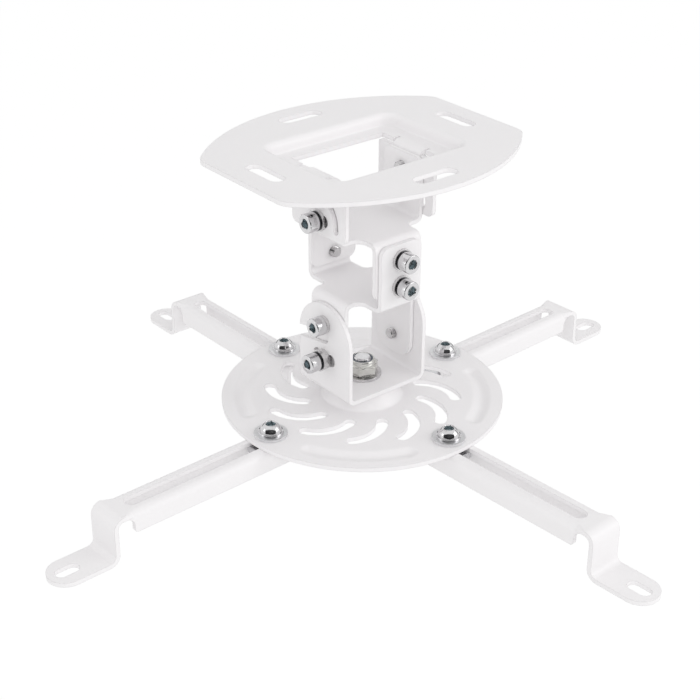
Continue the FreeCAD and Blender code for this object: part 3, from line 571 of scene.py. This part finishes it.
def disc_bead(number, start):
    """One bead's groove, with soft shoulders and a floor flush with the disc's underside."""
    rings = []
    for k in range(BEAD_ROWS + 1):
        offset = BEAD_HALF_WIDTH * k / BEAD_ROWS
        dip = BEAD_GROOVE * (1 + math.cos(math.pi * k / BEAD_ROWS)) / 2
        rings.append(bead_loop(start, offset, DISC_TOP + BEAD_COVER - dip))
    edge = BEAD_HALF_WIDTH + BEAD_LIP
    underside = DISC_TOP - SHEET - BEAD_COVER / 2
    rings.append(bead_loop(start, edge, DISC_TOP + BEAD_COVER / 2))
    rings.append(bead_loop(start, edge, DISC_TOP - SHEET / 2))
    rings.append(bead_loop(start, BEAD_HALF_WIDTH, underside))
    rings.append(bead_loop(start, 0, underside))
    name = f"disc_bead_{number}"
    piece = add_object(name, mesh_of(name, rings, bead_coat, join=True))
    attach(piece, body_of["spider_disc"])


# Screws, bolt and nut

def cap_screw(node, axis, side, turn):
    low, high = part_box(node)
    length = high[axis] - low[axis]
    across = (axis + 1) % 3
    head_r = (high[across] - low[across]) / 2
    face = (low + high) / 2
    face[axis] = high[axis] if side > 0 else low[axis]
    outward = Vector((0, 0, 0))
    outward[axis] = side

    rings = socket(M5_SOCKET, M5_SOCKET_DEPTH, head_r - HEAD_EDGE)
    rings += rounded_edge(head_r, 0, HEAD_EDGE)
    rings.append(ring(head_r, -M5_HEAD_HEIGHT + HEAD_FOOT_EDGE))
    rings.append(ring(head_r - HEAD_FOOT_EDGE, -M5_HEAD_HEIGHT))
    rings.append(ring(M5_SHANK_R, -M5_HEAD_HEIGHT))
    start = len(rings)
    rings += threaded_end(M5_SHANK_R, M5_THREAD_DEPTH, M5_PITCH,
                          -length + M5_THREAD_LENGTH, -length, M5_TIP)
    mesh = mesh_of("cap_screw_" + node, rings, screw_zinc,
                   others=((socket_painted_shade, 0, SOCKET_ROWS), (thread_painted_shade, start, len(rings))))
    rotation = outward.to_track_quat("Z", "Y").to_matrix().to_4x4()
    place = Matrix.Translation(face) @ rotation @ Matrix.Rotation(turn, 4, "Z")
    add_piece("cap_screw_" + node, mesh, place, node)


def arm_screw(node, turn):
    low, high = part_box(node)
    middle = (low + high) / 2
    length = high.z - low.z
    under = M6_DOME_HEIGHT + M6_FLANGE_HEIGHT

    # The dome is part of a sphere through its top's edge and its foot
    rings = socket(M6_SOCKET, M6_SOCKET_DEPTH, M6_TOP_R)
    sphere_z = (M6_TOP_R ** 2 - M6_HEAD_R ** 2 - M6_DOME_HEIGHT ** 2) / (2 * M6_DOME_HEIGHT)
    sphere_r = math.hypot(M6_TOP_R, sphere_z)
    top_angle = math.atan2(M6_TOP_R, -sphere_z)
    foot_angle = math.atan2(M6_HEAD_R, -M6_DOME_HEIGHT - sphere_z)
    for k in range(1, M6_DOME_ROWS + 1):
        angle = top_angle + (foot_angle - top_angle) * k / M6_DOME_ROWS
        rings.append(ring(sphere_r * math.sin(angle), sphere_z + sphere_r * math.cos(angle)))
    rings.append(ring(M6_HEAD_R - M6_NECK_INSET, -M6_DOME_HEIGHT - M6_NECK_DROP))
    rings.append(ring(M6_HEAD_R + M6_NECK_FOOT, -M6_DOME_HEIGHT - M6_NECK_DROP))
    rings += rounded_edge(M6_FLANGE_R, -M6_DOME_HEIGHT - M6_FLANGE_DROP, M6_FLANGE_EDGE)
    rings.append(ring(M6_FLANGE_R, -under + M6_FLANGE_FOOT_EDGE))
    rings.append(ring(M6_FLANGE_R - M6_FLANGE_FOOT_EDGE, -under))
    rings.append(ring(M6_SHANK_R, -under))
    start = len(rings)
    rings += threaded_end(M6_SHANK_R, M6_THREAD_DEPTH, M6_PITCH,
                          -length + M6_THREAD_LENGTH, -length, M6_TIP)
    mesh = mesh_of("button_screw_" + node, rings, screw_zinc,
                   others=((socket_painted_shade, 0, SOCKET_ROWS), (thread_painted_shade, start, len(rings))))
    place = Matrix.Translation((middle.x, middle.y, high.z)) @ Matrix.Rotation(turn, 4, "Z")
    add_piece("button_screw_" + node, mesh, place, node)


def swivel_bolt():
    node = "swivel_bolt"
    low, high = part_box(node)
    head_top = low.z + M8_HEAD_HEIGHT
    face_r = M8_FLATS / 2 * BOLT_FACE
    head = hex_rings(M8_FLATS, head_top, low.z, face_r)
    head.reverse()
    rings = [centre_point(low.z), ring(face_r * BOLT_DISH, low.z)]
    rings += head
    rings.append(ring(M8_SHANK_R, head_top))
    # The thread's end points up here, so its heights are turned over
    for points in threaded_end(M8_SHANK_R, M8_THREAD_DEPTH, M8_PITCH, M8_THREAD_LENGTH, 0, M8_TIP):
        rings.append([Vector((p.x, p.y, high.z - p.z)) for p in points])
    mesh = mesh_of("hex_bolt", rings, screw_zinc)
    add_piece("hex_bolt", mesh, Matrix.Identity(4), node)


def swivel_nut():
    node = "swivel_nut"
    low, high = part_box(node)
    insert_low, insert_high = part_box("nut_insert_ring")
    insert_r = (insert_high.x - insert_low.x) / 2
    shoulder = low.z + NUT_HEX_HEIGHT
    bore_r = M8_SHANK_R + NUT_BORE_GAP
    rings = hex_rings(M8_FLATS, shoulder, low.z, M8_FLATS / 2 * NUT_FACE)
    rings.append(ring(bore_r + NUT_BORE_LEAD, low.z))
    rings.append(ring(bore_r, low.z + NUT_BORE_LEAD_HEIGHT))
    rings.append(ring(bore_r, shoulder))
    rings.append(ring(insert_r, insert_low.z))
    rings.append(ring(insert_r, high.z - NUT_LIP_DEPTH))
    rings.append(ring(insert_r - NUT_LIP, high.z - NUT_LIP_RISE))
    rings.append(ring(insert_r, high.z))
    rings += rounded_edge(NUT_CROWN_R, high.z, NUT_CROWN_EDGE)
    rings.append(ring(NUT_CROWN_R, shoulder + NUT_CROWN_FOOT))
    rings.append(ring(NUT_CROWN_R + NUT_CROWN_FOOT, shoulder))
    mesh = mesh_of("locking_nut", rings, nut_zinc, close=True)
    add_piece("locking_nut", mesh, Matrix.Rotation(NUT_TURN, 4, "Z"), node)


for k in range(ARM_COUNT):
    disc_bead(k + 1, BEAD_START + k * FULL_TURN / ARM_COUNT)

HINGE_AXES = {"ceiling_tilt": 0, "roll": 1, "yoke_tilt": 0}
cap_screws = [(f"{hinge}_{use}_screw_{letter}", axis, side)
              for hinge, axis in HINGE_AXES.items()
              for use in ("pivot", "lock")
              for letter, side in (("a", -1), ("b", 1))]
for k, (node, axis, side) in enumerate(cap_screws):
    cap_screw(node, axis, side, CAP_TURN + CAP_TURN_STEP * k)
for k in range(1, ARM_COUNT + 1):
    arm_screw(f"arm_screw_{k}", ARM_SCREW_TURN + ARM_SCREW_TURN_STEP * k)
swivel_bolt()
swivel_nut()


# Finishes of the CAD nodes. The first line whose words are in a node's name counts

FINISHES = (
    ("flat_washers", flat_zinc),
    # the spring washers' near-black colour is painted shade
    ("spring_washers", spring_washer_painted_shade),
    ("_collars", flat_zinc),
    ("_spacers", flat_zinc),
    ("_screw_", screw_zinc),
    ("ceiling_plate", coat),
    ("_bracket", coat),
    ("spider_disc", coat),
    ("arm_washer", pale_zinc),
    ("arm_", coat),
    ("nut_plate", plate_zinc),
    ("nut_insert_ring", insert_nylon),
    ("swivel_washer", flat_zinc),
    ("swivel_nut", nut_zinc),
    ("swivel_bolt", screw_zinc),
)

for name, thing in frame["nodes"].items():
    finish = next(finish for words, finish in FINISHES if words in name)
    thing.data.materials.clear()
    thing.data.materials.append(finish)


# Floor, world and lights

def rectangle(name, width, height, material):
    """A flat rectangle about its own origin."""
    x, y = width / 2, height / 2
    mesh = bpy.data.meshes.new(name)
    mesh.from_pydata([(-x, -y, 0), (x, -y, 0), (x, y, 0), (-x, y, 0)], [], [(0, 1, 2, 3)])
    mesh.materials.append(material)
    return add_object(name, mesh)


def aim(thing, place, target, axis):
    thing.location = place
    thing.rotation_euler = (Vector(target) - Vector(place)).to_track_quat(axis, "Y").to_euler()


def emission(tree, strength):
    node = tree.nodes.new("ShaderNodeEmission")
    node.inputs["Strength"].default_value = strength
    return node.outputs["Emission"]


def pale_floor():
    """Takes shadows, looks nearly white to the camera and in gloss, and is clear from below."""
    made = bpy.data.materials.new("pale_floor")
    tree = empty_tree(made)
    output = tree.nodes.new("ShaderNodeOutputMaterial")
    rays = tree.nodes.new("ShaderNodeLightPath")
    diffuse = tree.nodes.new("ShaderNodeBsdfDiffuse")
    tree.links.new(blend_colours(tree, noise(tree, *FLOOR_CLOUDS), *FLOOR_COLOURS),
                   diffuse.inputs["Color"])
    table = tree.nodes.new("ShaderNodeAddShader")
    tree.links.new(diffuse.outputs["BSDF"], table.inputs[0])
    tree.links.new(emission(tree, FLOOR_GLOW), table.inputs[1])
    share = calculate(tree, "MULTIPLY", camera_or_gloss(tree, rays), FLOOR_WHITE_SHARE)
    lifted = blend_shaders(tree, share, table.outputs["Shader"], emission(tree, FLOOR_WHITE))
    geometry = tree.nodes.new("ShaderNodeNewGeometry")
    below = calculate(tree, "MULTIPLY", geometry.outputs["Backfacing"],
                      rays.outputs["Is Camera Ray"])
    clear = tree.nodes.new("ShaderNodeBsdfTransparent")
    mixed = blend_shaders(tree, below, lifted, clear.outputs["BSDF"])
    tree.links.new(mixed, output.inputs["Surface"])
    return made


def sky_background(tree, strength):
    node = tree.nodes.new("ShaderNodeBackground")
    node.inputs["Color"].default_value = (1, 1, 1, 1)
    node.inputs["Strength"].default_value = strength
    return node.outputs["Background"]


def studio_world():
    """Plain soft light from all round, and white for the camera and in gloss."""
    world = bpy.data.worlds.new("studio")
    tree = empty_tree(world)
    output = tree.nodes.new("ShaderNodeOutputWorld")
    rays = tree.nodes.new("ShaderNodeLightPath")
    mixed = blend_shaders(tree, camera_or_gloss(tree, rays),
                          sky_background(tree, SKY_LIGHT), sky_background(tree, SKY_WHITE))
    tree.links.new(mixed, output.inputs["Surface"])
    return world


def area_light(name, place, size, watts):
    lamp = bpy.data.lights.new(name, "AREA")
    lamp.shape = "RECTANGLE"
    lamp.size, lamp.size_y = size
    lamp.energy = watts
    aim(add_object(name, lamp), place, MIDDLE, "-Z")


def card_black():
    made, tree, shader = new_material("dark_card")
    tree.links.new(blend_colours(tree, noise(tree, *CARD_CLOUDS), *CARD_COLOURS),
                   shader.inputs["Base Color"])
    shader.inputs["Roughness"].default_value = CARD_ROUGHNESS
    return made


def dark_card(name, place, size, target, material):
    """A dark card that only bright metal sees, as a studio uses for its black edges."""
    card = rectangle(name, *size, material)
    aim(card, place, target, "Z")
    card.visible_camera = False
    card.visible_diffuse = False
    card.visible_shadow = False


floor = rectangle("floor", 2 * FLOOR_HALF, 2 * FLOOR_HALF, pale_floor())
floor.location.z = cad_low.z - FLOOR_DROP

bpy.context.scene.world = studio_world()
for name, place, size, watts in LAMPS:
    area_light(name, place, size, watts)

black = card_black()
for name, place, size, target in CARDS:
    dark_card(name, place, size, target, black)


# Camera

back = Vector((math.sin(CAMERA_AZIMUTH) * math.cos(CAMERA_ELEVATION),
               -math.cos(CAMERA_AZIMUTH) * math.cos(CAMERA_ELEVATION),
               math.sin(CAMERA_ELEVATION)))
level = Vector((math.cos(CAMERA_AZIMUTH), math.sin(CAMERA_AZIMUTH), 0))
rise = level.cross(-back)
right = math.cos(CAMERA_ROLL) * level + math.sin(CAMERA_ROLL) * rise
up = -math.sin(CAMERA_ROLL) * level + math.cos(CAMERA_ROLL) * rise
disc_centre = Vector((0, 0, DISC_TOP))
place = disc_centre + CAMERA_RIGHT * right + CAMERA_UP * up + CAMERA_DISTANCE * back

camera_data = bpy.data.cameras.new("camera")
camera_data.sensor_width = SENSOR_WIDTH
camera_data.lens = FOCAL_PIXELS / PHOTO_PIXELS * SENSOR_WIDTH
camera_data.clip_start = CLIP_START
camera_data.clip_end = CLIP_END
camera = add_object("camera", camera_data)
camera.matrix_world = Matrix((
    (right.x, up.x, back.x, place.x),
    (right.y, up.y, back.y, place.y),
    (right.z, up.z, back.z, place.z),
    (0, 0, 0, 1),
))
bpy.context.scene.camera = camera
bpy.context.scene.view_settings.view_transform = "Standard"
